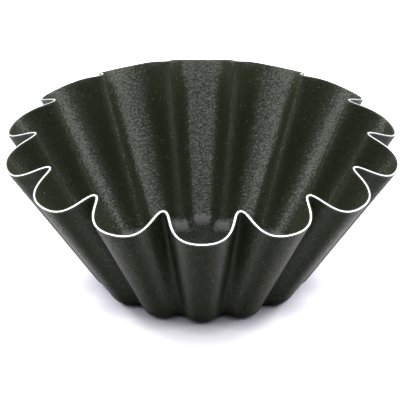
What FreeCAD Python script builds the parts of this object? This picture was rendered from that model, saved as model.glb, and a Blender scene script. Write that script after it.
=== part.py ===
import FreeCAD, Part
import math
import os
import Sketcher

# A large fluted brioche mould: one disc of metal sheet pressed into flutes, with a non-stick coat
# on each side. Millimetres, +Z up, origin in the middle of the underside of the base.
doc = FreeCAD.newDocument("brioche_mould")

# Driving sizes. A reach is the length of the tangent that shapes a flute's curve at its crest or fold.
DRIVING_SIZES = (
    ("flute_count", "14", "flutes round the wall"),
    ("rim_diameter", "220", "across opposite crests at the cut edge, outside"),
    ("rim_flute_depth", "17.8", "crest to fold at the cut edge, seen from above"),
    ("height", "88", "underside of the base to the tips of the folds"),
    ("base_diameter", "115", "across the crests where wall and base would meet in a sharp corner"),
    ("base_flute_depth", "5.3", "crest to fold in that sharp corner"),
    ("corner_radius", "11", "outside radius between base and wall"),
    ("mouth_crest_reach", "22.7", "reach of the crest curve at the height of the fold tips"),
    ("mouth_fold_reach", "4.5", "reach of the fold curve at the height of the fold tips"),
    ("base_crest_reach", "7.5", "reach of the crest curve at the base"),
    ("base_fold_reach", "4.0", "reach of the fold curve at the base"),
    ("sheet_thickness", "1.0", "metal sheet"),
    ("coat_thickness", "0.25", "non-stick coat on each side of the sheet"),
    ("trim_allowance", "8", "pressing left standing above the fold tips, then trimmed off"),
)
sizes = doc.addObject("Spreadsheet::Sheet", "Sizes")
for row, (alias, value, meaning) in enumerate(DRIVING_SIZES, start=1):
    sizes.set(f"A{row}", meaning)
    sizes.set(f"B{row}", value)
    sizes.setAlias(f"B{row}", alias)
doc.recompute()

# Sizes worked out from the driving ones. The disc is cut round before it is pressed, so the cut edge
# lies one slant length from the base corner all the way round: low on the crests, high on the folds.
WORKED_SIZES = (
    ("half_flute", "180 / Sizes.flute_count", "angle from crest to fold, degrees"),
    ("rim_crest", "Sizes.rim_diameter / 2", "crest radius at the cut edge"),
    ("rim_fold", "rim_crest - Sizes.rim_flute_depth", "fold radius at the cut edge"),
    ("base_crest", "Sizes.base_diameter / 2", "crest radius in the sharp base corner"),
    ("base_fold", "base_crest - Sizes.base_flute_depth", "fold radius in the sharp base corner"),
    ("slant", "sqrt((rim_fold - base_crest)^2 + Sizes.height^2)", "base corner to cut edge"),
    ("crest_height", "sqrt(slant^2 - (rim_crest - base_crest)^2)", "height of the cut edge on a crest"),
    ("mouth_crest", "base_crest + (rim_crest - base_crest) * Sizes.height / crest_height",
     "crest radius of the untrimmed wall at the height of the fold tips"),
    ("mean_lean", "(mouth_crest - base_crest + rim_fold - base_fold) / 2 / Sizes.height",
     "tangent of the wall's lean, halfway between crest and fold"),
    ("level_run", "sqrt(1 + mean_lean^2)", "level distance through the wall for each unit of thickness"),
)
worked = doc.addObject("Spreadsheet::Sheet", "Worked")
for row, (alias, formula, meaning) in enumerate(WORKED_SIZES, start=1):
    worked.set(f"A{row}", meaning)
    worked.set(f"B{row}", f"={formula}")
    worked.setAlias(f"B{row}", alias)
    doc.recompute()

ROOT_POINT = (-1, 1)
X_AXIS = -1
START, END, CENTRE = 1, 2, 3
# A crest faces the front, along -Y
CREST_TO_FRONT = FreeCAD.Placement(FreeCAD.Vector(), FreeCAD.Rotation(FreeCAD.Vector(0, 0, 1), -90))


def origin_part(body, role):
    """One of the body's own origin planes or axes."""
    return next(part for part in body.Origin.OriginFeatures if part.Role == role)


def bind(sketch, name, expression, kind, *places):
    """Add a dimension to the sketch, named, at its present value, and tie it to the sheets."""
    value = float(sketch.evalExpression(expression))
    index = sketch.addConstraint(Sketcher.Constraint(kind, *places, value))
    sketch.renameConstraint(index, name)
    sketch.setExpression(f"Constraints.{name}", expression)


def between(level, base, mouth):
    """Expression for a size at some height of the straight wall."""
    return f"({base} + ({mouth} - {base}) * ({level}) / Sizes.height)"


def flute_sketch(body, name, level, depth):
    """One flute's sector at a height, for the skin that lies at a depth in the wall.

    Each half of the flute is one cubic curve from the crest to the fold, level with the rim at both ends.
    Deeper in the wall the crest tightens and the fold opens out, which keeps the sheet even.
    """
    inset = f"({depth}) * Worked.level_run"
    crest = between(level, "Worked.base_crest", "Worked.mouth_crest")
    fold = between(level, "Worked.base_fold", "Worked.rim_fold")
    crest_reach = between(level, "Sizes.base_crest_reach", "Sizes.mouth_crest_reach")
    fold_reach = between(level, "Sizes.base_fold_reach", "Sizes.mouth_fold_reach")
    bend = f"({crest} - {fold}) * {inset} * 2 / 3"
    expressions = {
        "crest_radius": f"{crest} - {inset}",
        "fold_radius": f"{fold} - {inset}",
        "crest_reach": f"sqrt({crest_reach}^2 - {bend})",
        "fold_reach": f"sqrt({fold_reach}^2 + {bend})",
    }
    sketch = body.newObject("Sketcher::SketchObject", name)
    sketch.AttachmentSupport = [(origin_part(body, "XY_Plane"), "")]
    sketch.MapMode = "FlatFace"
    sketch.AttachmentOffset = CREST_TO_FRONT
    sketch.setExpression(".AttachmentOffset.Base.z", level)

    now = {key: float(sketch.evalExpression(text)) for key, text in expressions.items()}
    angle = math.radians(float(sketch.evalExpression("Worked.half_flute")))
    outward = FreeCAD.Vector(math.cos(angle), math.sin(angle), 0)
    along = FreeCAD.Vector(-math.sin(angle), math.cos(angle), 0)
    fold_tip = outward * now["fold_radius"]
    upper = [
        FreeCAD.Vector(now["crest_radius"], 0, 0),
        FreeCAD.Vector(now["crest_radius"], now["crest_reach"], 0),
        fold_tip - along * now["fold_reach"],
        fold_tip,
    ]
    lower = [FreeCAD.Vector(pole.x, -pole.y, 0) for pole in upper]

    curves, sides, poles = [], [], []
    for points in (upper, lower):
        curve = Part.BSplineCurve()
        curve.buildFromPolesMultsKnots(points, [4, 4], [0.0, 1.0], False, 3)
        curves.append(sketch.addGeometry(curve, False))
    for points in (upper, lower):
        sides.append(sketch.addGeometry(Part.LineSegment(FreeCAD.Vector(), points[-1]), False))
    handle = sketch.addGeometry(Part.LineSegment(upper[3], upper[2]), True)
    for curve in curves:
        first_pole = sketch.GeometryCount
        sketch.exposeInternalGeometry(curve)
        poles.append(range(first_pole, first_pole + len(upper)))

    add = sketch.addConstraint
    for side, curve in zip(sides, curves):
        add(Sketcher.Constraint("Coincident", side, START, *ROOT_POINT))
        add(Sketcher.Constraint("Coincident", side, END, curve, END))
    add(Sketcher.Constraint("Coincident", curves[0], START, curves[1], START))
    add(Sketcher.Constraint("PointOnObject", curves[0], START, X_AXIS))
    add(Sketcher.Constraint("Vertical", poles[0][0], CENTRE, poles[0][1], CENTRE))
    add(Sketcher.Constraint("Coincident", handle, START, sides[0], END))
    add(Sketcher.Constraint("Coincident", handle, END, poles[0][2], CENTRE))
    add(Sketcher.Constraint("Perpendicular", handle, sides[0]))
    for pole in (1, 2, 3):
        add(Sketcher.Constraint("Symmetric", poles[0][pole], CENTRE, poles[1][pole], CENTRE, X_AXIS))
    bind(sketch, "half_flute", "Worked.half_flute * 1 deg", "Angle", X_AXIS, START, sides[0], START)
    bind(sketch, "crest_radius", expressions["crest_radius"], "DistanceX", *ROOT_POINT, curves[0], START)
    bind(sketch, "crest_reach", expressions["crest_reach"], "DistanceY", *ROOT_POINT, poles[0][1], CENTRE)
    bind(sketch, "fold_radius", expressions["fold_radius"], "Distance", sides[0])
    bind(sketch, "fold_reach", expressions["fold_reach"], "Distance", handle)
    return sketch


def fluted_form(name, depth, standing):
    """Solid inside one skin of the wall: a flute, repeated round the axis, with a rounded base corner."""
    body = doc.addObject("PartDesign::Body", name)
    floor_sketch = flute_sketch(body, f"{name}_floor", depth, depth)
    top = f"Sizes.height + {standing} * Sizes.trim_allowance"
    mouth_sketch = flute_sketch(body, f"{name}_mouth", top, depth)
    flute = body.newObject("PartDesign::AdditiveLoft", f"{name}_flute")
    flute.Profile = floor_sketch
    flute.Sections = [mouth_sketch]
    flute.Ruled = True
    doc.recompute()

    ring = body.newObject("PartDesign::PolarPattern", f"{name}_ring")
    ring.Originals = [flute]
    ring.Axis = (origin_part(body, "Z_Axis"), [""])
    ring.Angle = 360
    ring.setExpression("Occurrences", "Sizes.flute_count")
    body.Tip = ring
    doc.recompute()

    floor = float(body.evalExpression(depth))
    corner_edges = [
        f"Edge{number}"
        for number, edge in enumerate(ring.Shape.Edges, start=1)
        if all(math.isclose(vertex.Z, floor, abs_tol=1e-6) for vertex in edge.Vertexes)
    ]
    corner = body.newObject("PartDesign::Fillet", f"{name}_corner")
    corner.Base = (ring, corner_edges)
    corner.setExpression("Radius", f"Sizes.corner_radius - ({depth})")
    body.Tip = corner
    doc.recompute()
    return body


def rim_offcut():
    """Ring that is trimmed off above the cut edge, so that the edge is square to the sheet all round."""
    body = doc.addObject("PartDesign::Body", "rim_offcut")
    sketch = body.newObject("Sketcher::SketchObject", "rim_offcut_profile")
    sketch.AttachmentSupport = [(origin_part(body, "XZ_Plane"), "")]
    sketch.MapMode = "FlatFace"
    centre = FreeCAD.Vector(float(sketch.evalExpression("Worked.base_crest")), 0, 0)
    slant = float(sketch.evalExpression("Worked.slant"))
    top = slant + float(sketch.evalExpression("Sizes.height"))
    corners = [
        centre + FreeCAD.Vector(0, slant, 0),
        centre + FreeCAD.Vector(0, top, 0),
        centre + FreeCAD.Vector(slant, top, 0),
        centre + FreeCAD.Vector(slant, 0, 0),
    ]
    circle = Part.Circle(centre, FreeCAD.Vector(0, 0, 1), slant)
    arc = sketch.addGeometry(Part.ArcOfCircle(circle, 0, math.pi / 2), False)
    inner, upper, outer = (
        sketch.addGeometry(Part.LineSegment(start, end), False) for start, end in zip(corners, corners[1:])
    )
    add = sketch.addConstraint
    add(Sketcher.Constraint("Coincident", arc, END, inner, START))
    add(Sketcher.Constraint("Coincident", inner, END, upper, START))
    add(Sketcher.Constraint("Coincident", upper, END, outer, START))
    add(Sketcher.Constraint("Coincident", outer, END, arc, START))
    add(Sketcher.Constraint("Vertical", inner))
    add(Sketcher.Constraint("Horizontal", upper))
    add(Sketcher.Constraint("Vertical", outer))
    add(Sketcher.Constraint("PointOnObject", arc, CENTRE, X_AXIS))
    add(Sketcher.Constraint("PointOnObject", arc, START, X_AXIS))
    add(Sketcher.Constraint("Vertical", arc, CENTRE, arc, END))
    bind(sketch, "base_crest", "Worked.base_crest", "DistanceX", *ROOT_POINT, arc, CENTRE)
    bind(sketch, "slant", "Worked.slant", "Radius", arc)
    bind(sketch, "offcut_height", "Sizes.height", "DistanceY", inner, START, inner, END)
    revolution = body.newObject("PartDesign::Revolution", "rim_offcut_ring")
    revolution.Profile = sketch
    revolution.ReferenceAxis = (origin_part(body, "Z_Axis"), [""])
    revolution.Angle = 360
    doc.recompute()
    return body


def layer(label, outside, inside, offcut):
    """What lies between two skins, with its top trimmed to the cut edge."""
    pressing = doc.addObject("Part::Cut", f"{label}_pressing")
    pressing.Base = outside
    pressing.Tool = inside
    trimmed = doc.addObject("Part::Cut", label)
    trimmed.Base = pressing
    trimmed.Tool = offcut
    trimmed.Label = label
    trimmed.Placement = FreeCAD.Placement()
    return trimmed


# Depth in the wall of each skin, from the outside in. Each form stands higher than the one round it.
SKIN_DEPTHS = (
    ("outer_coat_form", "0"),
    ("sheet_form", "Sizes.coat_thickness"),
    ("inner_coat_form", "Sizes.coat_thickness + Sizes.sheet_thickness"),
    ("hollow_form", "2 * Sizes.coat_thickness + Sizes.sheet_thickness"),
)
forms = [fluted_form(name, depth, number) for number, (name, depth) in enumerate(SKIN_DEPTHS, start=1)]
offcut = rim_offcut()
LAYER_LABELS = ("outer_coat", "pressed_sheet", "inner_coat")
sub_parts = [
    layer(label, outside, inside, offcut) for label, outside, inside in zip(LAYER_LABELS, forms, forms[1:])
]
doc.recompute()

for item in doc.Objects:
    if "Invalid" in item.State or "Error" in item.State:
        raise RuntimeError(f"{item.Label} failed: {item.State}")
for sub_part in sub_parts:
    shape = sub_part.Shape
    if shape.isNull() or not shape.isValid() or len(shape.Solids) != 1:
        raise RuntimeError(f"{sub_part.Label} is not one valid solid")

os.makedirs("parts", exist_ok=True)
for sub_part in sub_parts:
    sub_part.Shape.exportStep(os.path.join("parts", f"{sub_part.Label}.step"))
    box = sub_part.Shape.optimalBoundingBox()
    extents = " x ".join(f"{length:.2f}" for length in (box.XLength, box.YLength, box.ZLength))
    print(f"{sub_part.Label}: {sub_part.Shape.Volume:.0f} mm3, {extents} mm")
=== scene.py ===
import math
import bpy
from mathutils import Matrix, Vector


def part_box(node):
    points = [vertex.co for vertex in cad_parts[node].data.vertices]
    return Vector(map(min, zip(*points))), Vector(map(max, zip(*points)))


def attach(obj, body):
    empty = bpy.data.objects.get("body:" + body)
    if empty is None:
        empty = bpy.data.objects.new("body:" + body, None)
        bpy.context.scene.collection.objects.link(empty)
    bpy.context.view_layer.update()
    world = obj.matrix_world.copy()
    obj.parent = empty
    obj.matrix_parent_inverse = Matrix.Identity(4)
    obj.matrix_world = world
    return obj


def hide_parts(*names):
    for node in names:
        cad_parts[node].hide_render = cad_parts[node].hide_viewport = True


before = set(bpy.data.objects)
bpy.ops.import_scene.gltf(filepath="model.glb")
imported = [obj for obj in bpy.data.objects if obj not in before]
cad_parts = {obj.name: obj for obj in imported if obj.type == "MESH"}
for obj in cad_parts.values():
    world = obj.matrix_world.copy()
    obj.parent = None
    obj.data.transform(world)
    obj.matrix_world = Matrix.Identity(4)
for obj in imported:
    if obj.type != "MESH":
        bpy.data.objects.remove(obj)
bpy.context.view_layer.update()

# Pressed sheet
# One disc of aluminium sheet, pressed into a flared cup with deep flutes in a single stroke. Its cut edge is
# left bare, so it shows as a bright line that runs low over the crests and rises to a tip at each fold.
FLUTES = 14
HEIGHT = 0.088
RIM_FOLD_DEPTH = 0.0178
RIM_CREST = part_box("outer_coat")[1].y
RIM_FOLD = RIM_CREST - RIM_FOLD_DEPTH
BASE_FOLD_DEPTH = 0.0053
BASE_CREST = 0.0575
BASE_FOLD = BASE_CREST - BASE_FOLD_DEPTH
CORNER_RADIUS = 0.011
MOUTH_CREST_REACH = 0.0227
MOUTH_FOLD_REACH = 0.0045
BASE_CREST_REACH = 0.0075
BASE_FOLD_REACH = 0.0040
WALL = 0.0015
COAT = 0.0003

# The blank is round, so its cut edge lies one slant length from the base corner all the way round
SLANT = math.hypot(RIM_FOLD - BASE_CREST, HEIGHT)
CREST_HEIGHT = math.sqrt(SLANT ** 2 - (RIM_CREST - BASE_CREST) ** 2)
MOUTH_CREST = BASE_CREST + (RIM_CREST - BASE_CREST) * HEIGHT / CREST_HEIGHT

# Level distance through the leaning wall for each unit of its thickness
MEAN_LEAN = (MOUTH_CREST - BASE_CREST + RIM_FOLD - BASE_FOLD) / 2 / HEIGHT
LEVEL_RUN = math.hypot(1, MEAN_LEAN)

# Slight crown that shearing leaves on the cut edge
EDGE_CROWN = 0.00012
EDGE_CROWN_POWER = 6
EDGE_STEPS = 8

# Steps of the mesh: round each half flute, and along the section from the middle of the floor to the edge
HALF_FLUTE_STEPS = 22
FLOOR_STEPS = 3
CORNER_STEPS = 9
WALL_STEPS = 10
SHARP_ANGLE = math.radians(35)
WELD_DISTANCE = 2e-6
RIM_SEARCH_STEPS = 9

# Sizes that the nodes of a layer take, with the values for a layer as thick as the whole wall
LAYER_SIZES = {
    "Flutes": FLUTES,
    "Mouth Crest Radius": MOUTH_CREST,
    "Mouth Fold Radius": RIM_FOLD,
    "Base Crest Radius": BASE_CREST,
    "Base Fold Radius": BASE_FOLD,
    "Height": HEIGHT,
    "Slant": SLANT,
    "Level Run": LEVEL_RUN,
    "Corner Radius": CORNER_RADIUS,
    "Mouth Crest Reach": MOUTH_CREST_REACH,
    "Mouth Fold Reach": MOUTH_FOLD_REACH,
    "Base Crest Reach": BASE_CREST_REACH,
    "Base Fold Reach": BASE_FOLD_REACH,
    "Outer Depth": 0.0,
    "Inner Depth": WALL,
    "Edge Crown": 0.0,
    "Edge Steps": 1,
}


class Wire:
    """An output in a node tree. Arithmetic on it adds Math nodes, and node() adds any other node."""

    def __init__(self, tree, socket=None):
        self.tree = tree
        self.socket = socket

    def node(self, kind, settings=None, sockets=None, output=0):
        """Add a node, set it up, fill or link its sockets, and return one of its outputs."""
        made = self.tree.nodes.new(kind)
        for name, value in (settings or {}).items():
            setattr(made, name, value)
        for key, value in (sockets or {}).items():
            if isinstance(value, Wire):
                self.tree.links.new(value.socket, made.inputs[key])
            else:
                made.inputs[key].default_value = value
        return Wire(self.tree, made.outputs[output] if made.outputs else None)

    def math(self, operation, *others):
        """A Math node on this value, and on any others after it."""
        return self.node("ShaderNodeMath", {"operation": operation}, dict(enumerate((self, *others))))

    def math_after(self, operation, first):
        """A Math node on another value, and on this one after it."""
        return self.node("ShaderNodeMath", {"operation": operation}, {0: first, 1: self})

    def __add__(self, other):
        return self.math("ADD", other)

    def __radd__(self, other):
        return self.math_after("ADD", other)

    def __sub__(self, other):
        return self.math("SUBTRACT", other)

    def __rsub__(self, other):
        return self.math_after("SUBTRACT", other)

    def __mul__(self, other):
        return self.math("MULTIPLY", other)

    def __rmul__(self, other):
        return self.math_after("MULTIPLY", other)

    def __truediv__(self, other):
        return self.math("DIVIDE", other)

    def __rtruediv__(self, other):
        return self.math_after("DIVIDE", other)

    def root(self):
        return self.math("SQRT")

    def least(self, other):
        return self.math("MINIMUM", other)

    def clamped(self):
        return self.node("ShaderNodeClamp", sockets={"Value": self})


def fluted_layer_tree():
    """Geometry nodes for one closed layer of the wall, between two depths measured from its outside.

    A flat grid is wrapped round the axis one way and round the layer's section the other way: from the
    middle of the underside out and up the outer skin, over the cut edge, and back down the inner skin.
    """
    tree = bpy.data.node_groups.new("fluted_layer", "GeometryNodeTree")
    sockets = tree.interface
    sockets.new_socket("Geometry", in_out="INPUT", socket_type="NodeSocketGeometry")
    for name, value in LAYER_SIZES.items():
        kind = "NodeSocketInt" if isinstance(value, int) else "NodeSocketFloat"
        sockets.new_socket(name, in_out="INPUT", socket_type=kind).default_value = value
    sockets.new_socket("Material", in_out="INPUT", socket_type="NodeSocketMaterial")
    sockets.new_socket("Geometry", in_out="OUTPUT", socket_type="NodeSocketGeometry")
    start = Wire(tree)
    size = {name: start.node("NodeGroupInput", output=name) for name in (*LAYER_SIZES, "Material")}

    # Places on the grid, which runs from -0.5 to 0.5: flutes round the axis, and rows along the section
    section_steps = FLOOR_STEPS + CORNER_STEPS + WALL_STEPS
    columns = size["Flutes"] * (2 * HALF_FLUTE_STEPS)
    rows = size["Edge Steps"] + 2 * section_steps
    grid = start.node("GeometryNodeMeshGrid", sockets={
        "Size X": 1.0, "Size Y": 1.0, "Vertices X": columns + 1, "Vertices Y": rows + 1,
    })
    place = start.node("GeometryNodeInputPosition")
    across_grid = start.node("ShaderNodeSeparateXYZ", sockets={"Vector": place}, output="X") + 0.5
    up_grid = start.node("ShaderNodeSeparateXYZ", sockets={"Vector": place}, output="Y") + 0.5
    around = across_grid * size["Flutes"]
    row = up_grid * rows

    # Share of the way across the cut edge, and steps from the middle of the floor along either skin
    across = ((row - section_steps) / size["Edge Steps"]).clamped()
    depth = size["Outer Depth"] + (size["Inner Depth"] - size["Outer Depth"]) * across
    step = row.least(rows - row).least(section_steps)
    floor_share = (step / FLOOR_STEPS).clamped()
    corner_share = ((step - FLOOR_STEPS) / CORNER_STEPS).clamped()
    wall_share = ((step - FLOOR_STEPS - CORNER_STEPS) / WALL_STEPS).clamped()

    # Nearest crest, and the shares of the half flute gone from that crest and still to go to its fold
    crest_number = (around + 0.5).math("FLOOR")
    offset = (around - crest_number) * 2
    side = offset.math("SIGN")
    gone = offset.math("ABSOLUTE").clamped()
    to_go = 1 - gone
    half_angle = math.pi / size["Flutes"]
    fold_cos = half_angle.math("COSINE")
    fold_sin = half_angle.math("SINE")
    inset = depth * size["Level Run"]

    def poles(level):
        """Radii at crest and fold, and reaches of the flute's curve, at a height of the skin at this depth.

        A skin further in is tighter at the crests and rounder at the folds, so that it stays parallel there.
        """
        rise = level / size["Height"]
        crest, fold, crest_reach, fold_reach = (
            size["Base " + name] + (size["Mouth " + name] - size["Base " + name]) * rise
            for name in ("Crest Radius", "Fold Radius", "Crest Reach", "Fold Reach")
        )
        bend = (crest - fold) * inset * (2 / 3)
        crest_reach = (crest_reach * crest_reach - bend).root()
        fold_reach = (fold_reach * fold_reach + bend).root()
        return crest - inset, fold - inset, crest_reach, fold_reach

    def flute(crest, fold, crest_reach, fold_reach):
        """Point of the half flute's cubic curve, outward along the crest and sideways from it."""
        from_crest = to_go * to_go * (to_go + 3 * gone)
        near_fold = 3 * to_go * gone * gone
        to_fold = near_fold + gone * gone * gone
        out = from_crest * crest + to_fold * fold * fold_cos + near_fold * fold_reach * fold_sin
        near_crest = 3 * to_go * to_go * gone
        along = near_crest * crest_reach + to_fold * fold * fold_sin - near_fold * fold_reach * fold_cos
        return out, along

    def flute_heading(crest, fold, crest_reach, fold_reach):
        """Direction of that curve, from crest to fold."""
        middle_out = fold * fold_cos + fold_reach * fold_sin - crest
        middle_along = fold * fold_sin - fold_reach * fold_cos - crest_reach
        from_crest = to_go * to_go
        between = 2 * to_go * gone
        to_fold = gone * gone
        out = between * middle_out - to_fold * fold_reach * fold_sin
        along = from_crest * crest_reach + between * middle_along + to_fold * fold_reach * fold_cos
        length = (out * out + along * along).root()
        return out / length, along / length

    # Sharp base corner of this skin, and how far the straight wall runs sideways for each unit of height
    low = poles(depth)
    base_out, base_along = flute(*low)
    mouth_out, mouth_along = flute(*poles(size["Height"]))
    straight = size["Height"] - depth
    lean_out = (mouth_out - base_out) / straight
    lean_along = (mouth_along - base_along) / straight

    # Rounded corner: a circular arc from the floor to the wall, with the sharp corner as its middle pole
    heading_out, heading_along = flute_heading(*low)
    lean = lean_out * heading_along - lean_along * heading_out
    turn = lean.math_after("ARCTAN2", 1.0)
    half_turn = turn / 2
    tangent = (size["Corner Radius"] - depth) * half_turn.math("TANGENT")
    weight = half_turn.math("COSINE")
    corner_rise = tangent * turn.math("SINE")
    base_radius = (base_out * base_out + base_along * base_along).root()
    squareness = (base_out * heading_along - base_along * heading_out) / base_radius
    floor_scale = 1 - tangent / squareness / base_radius
    corner_to_go = 1 - corner_share
    from_floor = corner_to_go * corner_to_go
    at_corner = 2 * corner_share * corner_to_go * weight
    to_wall = corner_share * corner_share
    total = from_floor + at_corner + to_wall
    base_pull = (from_floor * floor_scale + at_corner + to_wall) / total - floor_scale * (1 - floor_share)
    wall_pull = to_wall * corner_rise / total

    # Height of the cut edge on this ruling of the wall: one slant length from the base corner
    crown = (2 * across - 1).math("ABSOLUTE").math("POWER", EDGE_CROWN_POWER)
    slant = size["Slant"] - size["Edge Crown"] * crown
    top = size["Height"]
    for _ in range(RIM_SEARCH_STEPS):
        out = base_out + lean_out * (top - depth)
        along = base_along + lean_along * (top - depth)
        reach = (out * out + along * along).root() - size["Base Crest Radius"]
        top = (slant * slant - reach * reach).root()
    wall_run = (top - depth - corner_rise) * wall_share

    out = base_out * base_pull + lean_out * (wall_pull + wall_run)
    along = (base_along * base_pull + lean_along * (wall_pull + wall_run)) * side
    level = depth + wall_pull + wall_run
    below_edge = top - level

    # Turn each flute to its place, the first crest towards the front
    heading = crest_number * (2 * half_angle) - math.pi / 2
    turn_cos = heading.math("COSINE")
    turn_sin = heading.math("SINE")
    position = start.node("ShaderNodeCombineXYZ", sockets={
        "X": out * turn_cos - along * turn_sin,
        "Y": out * turn_sin + along * turn_cos,
        "Z": level,
    })
    stored = start.node("GeometryNodeStoreNamedAttribute", {"data_type": "FLOAT", "domain": "POINT"}, {
        "Geometry": grid, "Name": "below_edge", "Value": below_edge,
    })
    shaped = start.node("GeometryNodeSetPosition", sockets={"Geometry": stored, "Position": position})
    welded = start.node("GeometryNodeMergeByDistance", sockets={
        "Geometry": shaped, "Distance": WELD_DISTANCE,
    })
    smooth = start.node("GeometryNodeSetShadeSmooth", {"domain": "FACE"}, {"Geometry": welded})
    angle = start.node("GeometryNodeInputMeshEdgeAngle")
    sharp = start.node("FunctionNodeCompare", {"operation": "GREATER_THAN"}, {0: angle, 1: SHARP_ANGLE})
    creased = start.node("GeometryNodeSetShadeSmooth", {"domain": "EDGE"}, {
        "Geometry": smooth, "Selection": sharp, "Shade Smooth": False,
    })
    realised = start.node("GeometryNodeRealizeInstances", sockets={"Geometry": creased})
    dressed = start.node("GeometryNodeSetMaterial", sockets={
        "Geometry": realised, "Material": size["Material"],
    })
    start.node("NodeGroupOutput", sockets={"Geometry": dressed})
    return tree


LAYER_TREE = fluted_layer_tree()


def fluted_layer(node, material, sizes):
    """Build one layer with the fluted-layer nodes as a plain mesh, in place of its CAD node."""
    piece = bpy.data.objects.new(node + "_finish", bpy.data.meshes.new(node + "_finish"))
    bpy.context.scene.collection.objects.link(piece)
    modifier = piece.modifiers.new("fluted_layer", "NODES")
    modifier.node_group = LAYER_TREE
    wanted = {**sizes, "Material": material}
    for item in LAYER_TREE.interface.items_tree:
        if item.in_out == "INPUT" and item.name in wanted:
            modifier[item.identifier] = wanted[item.name]
    evaluated = piece.evaluated_get(bpy.context.evaluated_depsgraph_get())
    mesh = bpy.data.meshes.new_from_object(evaluated)
    mesh.materials.clear()
    mesh.materials.append(material)
    mesh.polygons.foreach_set("material_index", [0] * len(mesh.polygons))
    piece.modifiers.clear()
    piece.data = mesh
    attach(piece, "root")
    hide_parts(node)


def new_material(name, surface):
    """A material with the surface that a function builds in its node tree."""
    material = bpy.data.materials.new(name)
    material.use_nodes = True
    material.node_tree.nodes.clear()
    start = Wire(material.node_tree)
    start.node("ShaderNodeOutputMaterial", sockets={"Surface": surface(start)})
    return material


def noise(place, scale, detail):
    """Soft random patches. The scale is how many there are to a metre."""
    return place.node("ShaderNodeTexNoise", sockets={"Vector": place, "Scale": scale, "Detail": detail})


def blend(factor, first, second):
    """A colour from the first to the second, as the factor goes from 0 to 1.

    Sockets 6 and 7 of a Mix node are its two colours, and output 2 is the mixed one.
    """
    return factor.node("ShaderNodeMix", {"data_type": "RGBA"}, {"Factor": factor, 6: first, 7: second}, 2)


# Sheared aluminium, with fine drag marks from the cut and slightly duller spots
DRAG_MARKS_PER_METRE = 2600.0
DRAG_DEPTH = 0.00004
DRAG_STRENGTH = 0.4
SPOTS_PER_METRE = 120.0
DULL_ALUMINIUM = (0.72, 0.72, 0.73, 1)
BRIGHT_ALUMINIUM = (0.93, 0.93, 0.94, 1)
EDGE_ROUGHNESS = 0.3
EDGE_ROUGHNESS_SPREAD = 0.2


def bare_aluminium(start):
    """Surface of the bare metal, which shows only at the cut edge."""
    place = start.node("ShaderNodeTexCoord", output="Object")
    drag = noise(place, DRAG_MARKS_PER_METRE, detail=3.0)
    spots = noise(place, SPOTS_PER_METRE, detail=2.0)
    return start.node("ShaderNodeBsdfPrincipled", sockets={
        "Base Color": blend(spots, DULL_ALUMINIUM, BRIGHT_ALUMINIUM),
        "Metallic": 1.0,
        "Roughness": EDGE_ROUGHNESS + EDGE_ROUGHNESS_SPREAD * drag,
        "Normal": start.node("ShaderNodeBump", sockets={
            "Strength": DRAG_STRENGTH, "Distance": DRAG_DEPTH, "Height": drag,
        }),
    })


fluted_layer("pressed_sheet", new_material("bare_aluminium", bare_aluminium), {
    "Outer Depth": COAT, "Inner Depth": WALL - COAT, "Edge Crown": EDGE_CROWN, "Edge Steps": EDGE_STEPS,
})

# Outer coat
# Olive-black non-stick coat, sprayed on the outside of the flat disc and baked before pressing. It is a
# little duller on this side, and stops at the cut edge.
COAT_FLECK_GAIN = 1.5
COAT_INDEX = 1.45
COAT_HAZE = 0.12
COAT_HAZE_SPREAD = 0.8
COAT_PEEL = 0.0012
COAT_PEEL_DEPTH = 0.00016
COAT_FLAKE = 0.00065
COAT_CLOUD = 0.014
COAT_CLOUD_SPREAD = 0.1
COAT_SPECK_SHARE = 0.006
COAT_SPECK_TONE = (0.055, 0.056, 0.050, 1)
OUTER_TONE = (0.0064, 0.0086, 0.0022)
OUTER_FLAKE_TILT = 0.24
OUTER_ROUGHNESS = 0.34

# Painted shade near the floor: darker there, partly under a matt dark film; also duller and coarser
FLOOR_SHADE_TONE = (0.0024, 0.0033, 0.0012, 1)
NEAR_FLOOR_RISE = 0.010
FLOOR_DULLING = 0.06
FLOOR_COARSENING = 0.8
SHADE_FILM_SHARE = 0.45
SHADE_FILM_RISE = 0.0045

# Line at the cut edge where the coat is worn thin
EDGE_WEAR = 0.0011
EDGE_WEAR_TONE = (0.075, 0.076, 0.072, 1)


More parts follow.
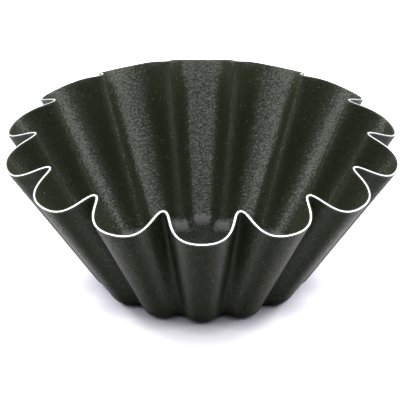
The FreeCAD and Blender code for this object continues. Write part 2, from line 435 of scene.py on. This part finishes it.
def nonstick_coat(tone, flake_tilt, roughness):
    """A function that builds the coat's surface: a dark tone with light flecks, and flakes that tilt."""
    fleck_tone = [COAT_FLECK_GAIN * channel for channel in tone]

    def surface(start):
        place = start.node("ShaderNodeTexCoord", output="Object")
        peel = noise(place, 1 / COAT_PEEL, detail=1.0)
        cloud = noise(place, 1 / COAT_CLOUD, detail=3.0)
        flake = start.node("ShaderNodeTexVoronoi", sockets={
            "Vector": place, "Scale": 1 / COAT_FLAKE,
        }, output="Color")
        height = start.node("ShaderNodeSeparateXYZ", sockets={"Vector": place}, output="Z")
        below_edge = start.node("ShaderNodeAttribute", {"attribute_name": "below_edge"}, output="Fac")

        def near_floor(rise):
            """1 at the floor inside, fading to 0 at a height."""
            return ((rise - height) / (rise - WALL)).clamped()

        # Colour: flecked, sparse light specks, painted shade near the floor, lighter along the edge
        draw = start.node("ShaderNodeSeparateColor", sockets={"Color": flake}, output="Red")
        near_floor_share = near_floor(NEAR_FLOOR_RISE)
        worn = (1 - below_edge / EDGE_WEAR).clamped() * peel
        flecked = blend(peel, (*tone, 1), (*fleck_tone, 1))
        specked = blend(draw.math("LESS_THAN", COAT_SPECK_SHARE), flecked, COAT_SPECK_TONE)
        # Painted shade: the colour darkens towards the floor
        floor_shaded = blend(near_floor_share, specked, FLOOR_SHADE_TONE)
        color = blend(worn, floor_shaded, EDGE_WEAR_TONE)

        # Grain: orange peel, and flakes that lean by their random colours
        bump = start.node("ShaderNodeBump", sockets={
            "Strength": 1.0, "Distance": COAT_PEEL_DEPTH, "Height": peel,
        })
        lean = start.node("ShaderNodeVectorMath", {"operation": "SUBTRACT"}, {0: flake, 1: (0.5, 0.5, 0.5)})
        tilt = start.node("ShaderNodeVectorMath", {"operation": "SCALE"}, {
            0: lean, "Scale": flake_tilt * (1 + FLOOR_COARSENING * near_floor_share),
        })
        normal = start.node("ShaderNodeVectorMath", {"operation": "ADD"}, {0: bump, 1: tilt})

        coat = start.node("ShaderNodeBsdfPrincipled", sockets={
            "Base Color": color,
            "IOR": COAT_INDEX,
            "Coat Weight": COAT_HAZE * (1 - near_floor_share),
            "Coat Roughness": COAT_HAZE_SPREAD,
            "Roughness": roughness + COAT_CLOUD_SPREAD * (cloud - 0.5) + FLOOR_DULLING * near_floor_share,
            "Normal": start.node("ShaderNodeVectorMath", {"operation": "NORMALIZE"}, {0: normal}),
        })
        # A matt dark film of painted shade, mixed in near the floor
        shade_film = start.node("ShaderNodeBsdfDiffuse", sockets={"Color": FLOOR_SHADE_TONE})
        return start.node("ShaderNodeMixShader", sockets={
            0: SHADE_FILM_SHARE * near_floor(SHADE_FILM_RISE), 1: coat, 2: shade_film,
        })

    return surface


outer_look = new_material("outer_nonstick", nonstick_coat(OUTER_TONE, OUTER_FLAKE_TILT, OUTER_ROUGHNESS))
fluted_layer("outer_coat", outer_look, {"Outer Depth": 0.0, "Inner Depth": COAT})

# Inner coat
# The same coat on the side that the dough touches, sprayed and baked in the same way. It is glossier, with a
# fine grain that sparkles where the light turns.
# Lighter than the outer coat's tone, though the coat is the same: the difference is painted light
INNER_LIT_TONE = (0.0086, 0.0115, 0.0048)
INNER_FLAKE_TILT = 0.19
INNER_ROUGHNESS = 0.26
inner_look = new_material("inner_nonstick", nonstick_coat(INNER_LIT_TONE, INNER_FLAKE_TILT, INNER_ROUGHNESS))
fluted_layer("inner_coat", inner_look, {"Outer Depth": WALL - COAT, "Inner Depth": WALL})

# Studio
# White paper in a dim room, under a wide oval soft panel with a dimmer one behind it, and two low fills. The
# mould mirrors the room and a dark patch for its own shadow, and not the paper. The camera has a long lens.
PAPER_HALF_WIDTH = 30.0
PAPER_TONE = (0.86, 0.854, 0.908, 1)
PAPER_ROUGHNESS = 0.8
PAPER_SHINE = 0.1
PAPER_SHADE_TONE = (0.44, 0.426, 0.51, 1)
PAPER_SHADE_REACH = 0.011
PAPER_SHADE_SAMPLES = 16


def white_paper(start):
    """Surface of white paper, with a soft contact shade where the mould stands close over it."""
    openness = start.node("ShaderNodeAmbientOcclusion", {"samples": PAPER_SHADE_SAMPLES}, {
        "Distance": PAPER_SHADE_REACH,
    }, "AO")
    return start.node("ShaderNodeBsdfPrincipled", sockets={
        "Base Color": blend(openness, PAPER_SHADE_TONE, PAPER_TONE),
        "Roughness": PAPER_ROUGHNESS,
        "Specular IOR Level": PAPER_SHINE,
    })


def level_sheet(name, half_width, material):
    """A level square sheet with its middle at the origin."""
    mesh = bpy.data.meshes.new(name)
    corners = [(half_width * x, half_width * y, 0) for x, y in ((-1, -1), (1, -1), (1, 1), (-1, 1))]
    mesh.from_pydata(corners, [], [(0, 1, 2, 3)])
    mesh.materials.append(material)
    sheet = bpy.data.objects.new(name, mesh)
    bpy.context.scene.collection.objects.link(sheet)
    return sheet


paper = level_sheet("paper", PAPER_HALF_WIDTH, new_material("white_paper", white_paper))
paper.visible_glossy = False

# The mould's own shadow as its outside mirrors it: a dark sheet under the paper that only reflections see
SHADOW_START = 0.052
SHADOW_END = 0.078
SHADOW_DROP = 0.0005
SHADOW_TONE = (0.01, 0.01, 0.01, 1)


def mirrored_shadow(start):
    """Surface of the dark sheet: solid in the middle, and fading outwards until it is clear."""
    place = start.node("ShaderNodeTexCoord", output="Object")
    radius = start.node("ShaderNodeVectorMath", {"operation": "LENGTH"}, {0: place}, "Value")
    return start.node("ShaderNodeBsdfPrincipled", sockets={
        "Base Color": SHADOW_TONE,
        "Specular IOR Level": 0.0,
        "Alpha": ((SHADOW_END - radius) / (SHADOW_END - SHADOW_START)).clamped(),
    })


shadow = level_sheet("mirrored_shadow", SHADOW_END, new_material("mirrored_shadow", mirrored_shadow))
shadow.location.z = -SHADOW_DROP
shadow.visible_camera = False
shadow.visible_diffuse = False
shadow.visible_shadow = False

# The room: even light above the horizon, and below it light that grows outwards from straight down
ROOM_LIGHT = 0.40
GROUND_LIGHT = 0.02
GROUND_LIGHT_SLOPE = 3.5
HORIZON_LIGHT = 1.05
world = bpy.data.worlds.new("studio")
bpy.context.scene.world = world
world.use_nodes = True
world.node_tree.nodes.clear()
room = Wire(world.node_tree)
way = room.node("ShaderNodeTexCoord", output="Generated")
rise = room.node("ShaderNodeSeparateXYZ", sockets={"Vector": way}, output="Z")
below = (GROUND_LIGHT + GROUND_LIGHT_SLOPE * (1 + rise)).least(HORIZON_LIGHT)
strength = below + (ROOM_LIGHT - below) * rise.math("GREATER_THAN", 0.0)
glow = room.node("ShaderNodeBackground", sockets={"Color": (1, 1, 1, 1), "Strength": strength})
room.node("ShaderNodeOutputWorld", sockets={"Surface": glow})

# The oval panel's front edge stops short of the camera, so the front of the room stays dim
PANEL_HEIGHT = 2.0
PANEL_RADIANCE = 3.5
PANEL_HALF_WIDTH = 6.0
PANEL_FRONT = -1.9
PANEL_BACK = 2.0
BACK_PANEL_RADIANCE = 1.2
BACK_PANEL_HALF_WIDTH = 9.0
BACK_PANEL_END = 14.0


def soft_panel(name, shape, radiance, half_width, front, back):
    """A level panel of even light that shines down, an ellipse or a rectangle."""
    light = bpy.data.lights.new(name, "AREA")
    light.shape = shape
    light.size = 2 * half_width
    light.size_y = back - front
    area = light.size * light.size_y
    if shape == "ELLIPSE":
        area *= math.pi / 4
    light.energy = radiance * math.pi * area
    lamp = bpy.data.objects.new(name, light)
    lamp.location = (0, (front + back) / 2, PANEL_HEIGHT)
    bpy.context.scene.collection.objects.link(lamp)
    return lamp


soft_panel("overhead_panel", "ELLIPSE", PANEL_RADIANCE, PANEL_HALF_WIDTH, PANEL_FRONT, PANEL_BACK)
soft_panel("back_panel", "RECTANGLE", BACK_PANEL_RADIANCE, BACK_PANEL_HALF_WIDTH, PANEL_BACK, BACK_PANEL_END)

# Low fills behind both sides keep the paper white beside the mould. They stay out of its reflections
FILL_RADIANCE = 24.0
FILL_HALF_WIDTH = 0.6
FILL_REACH = 1.0
FILL_PLACE = (3.4, 2.6, 2.0)
for side in (-1, 1):
    fill = soft_panel("side_fill", "RECTANGLE", FILL_RADIANCE, FILL_HALF_WIDTH, -FILL_REACH, FILL_REACH)
    fill.location = (side * FILL_PLACE[0], FILL_PLACE[1], FILL_PLACE[2])
    fill.rotation_euler = fill.location.to_track_quat("Z", "Y").to_euler()
    fill.visible_glossy = False

# The camera looks down into the mould. Its lens is known as a focal length in pixels of the picture
CAMERA_ELEVATION = math.radians(28.47)
CAMERA_POSITION = (-0.00104, -1.9537, 1.1061)
FOCAL_PIXELS = 4007.0
IMAGE_PIXELS = 400
SENSOR_WIDTH = 36.0
camera_data = bpy.data.cameras.new("camera")
camera_data.sensor_width = SENSOR_WIDTH
camera_data.lens = SENSOR_WIDTH * FOCAL_PIXELS / IMAGE_PIXELS
camera_data.clip_end = 2 * PAPER_HALF_WIDTH
camera = bpy.data.objects.new("camera", camera_data)
camera.location = CAMERA_POSITION
camera.rotation_euler = (math.pi / 2 - CAMERA_ELEVATION, 0, 0)
bpy.context.scene.collection.objects.link(camera)
bpy.context.scene.camera = camera
bpy.context.scene.view_settings.view_transform = "Standard"
